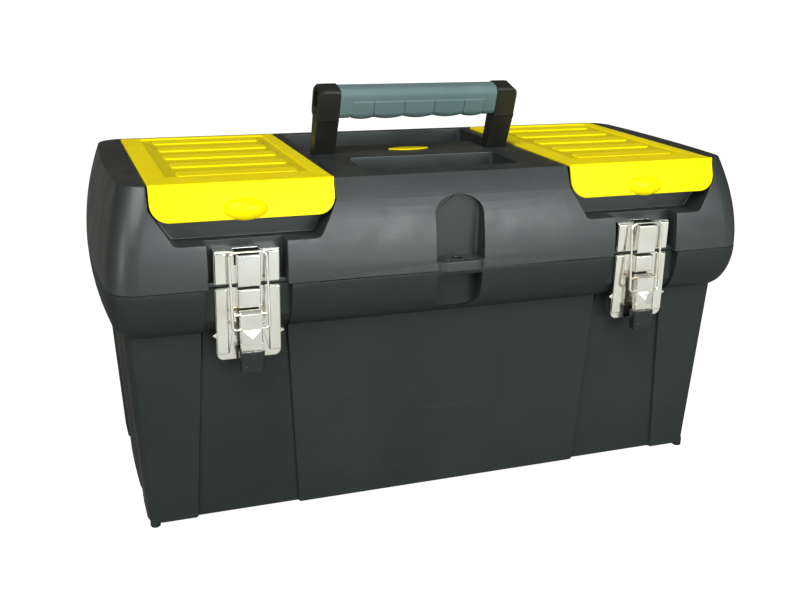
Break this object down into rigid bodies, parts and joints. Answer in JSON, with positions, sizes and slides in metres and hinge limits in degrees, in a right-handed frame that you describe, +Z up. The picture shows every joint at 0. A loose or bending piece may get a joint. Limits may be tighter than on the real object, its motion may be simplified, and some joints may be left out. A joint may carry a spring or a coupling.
{
  "type": "carpenter toolbox",
  "caption": "Large plastic toolbox with a vaulted lid, two flip-up organizer wells, folding carry handle, lift-out tray and steel draw latches",
  "frame": {"origin": "middle of the footprint, on the surface the toolbox stands on", "axes": "+X to the right along the length, -Y out of the front where the latches are, +Z up"},
  "size_m": [0.61, 0.2978, 0.3738],
  "materials": {
    "black_plastic": "fine moulded texture",
    "lid_plastic": "satin moulded",
    "tray_plastic": "satin moulded",
    "yellow_plastic": "semi-gloss moulded",
    "handle_plastic": "satin moulded",
    "grip_rubber": "matt soft grip",
    "nickel_plate": "bright nickel plate",
    "pin_steel": "plain steel",
    "tip_rubber": "smooth black"
  },
  "bodies": {
    "body": {"tub": "black_plastic", "hinge_pin_left": "pin_steel", "hinge_pin_right": "pin_steel", "latch_plate_left": "nickel_plate", "latch_plate_right": "nickel_plate", "lever_pin_left": "pin_steel", "lever_pin_right": "pin_steel"},
    "lid": {"lid": "lid_plastic", "keeper_plate_left": "nickel_plate", "keeper_plate_right": "nickel_plate", "badge": "yellow_plastic"},
    "tray": {"tray": "tray_plastic"},
    "organizer_left": {"organizer_lid_left": "yellow_plastic"},
    "organizer_right": {"organizer_lid_right": "yellow_plastic"},
    "handle": {"handle_frame": "handle_plastic", "handle_grip": "grip_rubber"},
    "lever_left": {"latch_lever_left": "nickel_plate", "lever_tip_left": "tip_rubber"},
    "lever_right": {"latch_lever_right": "nickel_plate", "lever_tip_right": "tip_rubber"},
    "bail_left": {"latch_bail_left": "nickel_plate"},
    "bail_right": {"latch_bail_right": "nickel_plate"}
  },
  "joints": [
    {"name": "lid_hinge", "type": "hinge", "parent": "body", "child": "lid", "pos_m": [0, 0.145, 0.219], "axis": [-1, 0, 0], "range_deg": [0, 105]},
    {"name": "tray_lift", "type": "slide", "parent": "body", "child": "tray", "axis": [0, 0, 1], "range_m": [0, 0.04]},
    {"name": "organizer_left_hinge", "type": "hinge", "parent": "lid", "child": "organizer_left", "pos_m": [-0.1872, 0.1045, 0.304], "axis": [-1, 0, 0], "range_deg": [0, 110]},
    {"name": "organizer_right_hinge", "type": "hinge", "parent": "lid", "child": "organizer_right", "pos_m": [0.1872, 0.1045, 0.304], "axis": [-1, 0, 0], "range_deg": [0, 110]},
    {"name": "handle_fold", "type": "hinge", "parent": "lid", "child": "handle", "pos_m": [0, -0.004, 0.304], "axis": [-1, 0, 0], "range_deg": [0, 106]},
    {"name": "lever_left_pivot", "type": "hinge", "parent": "body", "child": "lever_left", "pos_m": [-0.188, -0.1405, 0.2015], "axis": [-1, 0, 0], "range_deg": [0, 115]},
    {"name": "lever_right_pivot", "type": "hinge", "parent": "body", "child": "lever_right", "pos_m": [0.188, -0.1405, 0.2015], "axis": [-1, 0, 0], "range_deg": [0, 115]},
    {"name": "bail_left_pivot", "type": "hinge", "parent": "lever_left", "child": "bail_left", "pos_m": [-0.188, -0.1437, 0.1895], "axis": [1, 0, 0], "range_deg": [0, 138]},
    {"name": "bail_right_pivot", "type": "hinge", "parent": "lever_right", "child": "bail_right", "pos_m": [0.188, -0.1437, 0.1895], "axis": [1, 0, 0], "range_deg": [0, 138]}
  ],
  "couplings": [
    {"joint": "bail_left_pivot", "follows": "lever_left_pivot", "ratio": 1.2},
    {"joint": "bail_right_pivot", "follows": "lever_right_pivot", "ratio": 1.2}
  ]
}
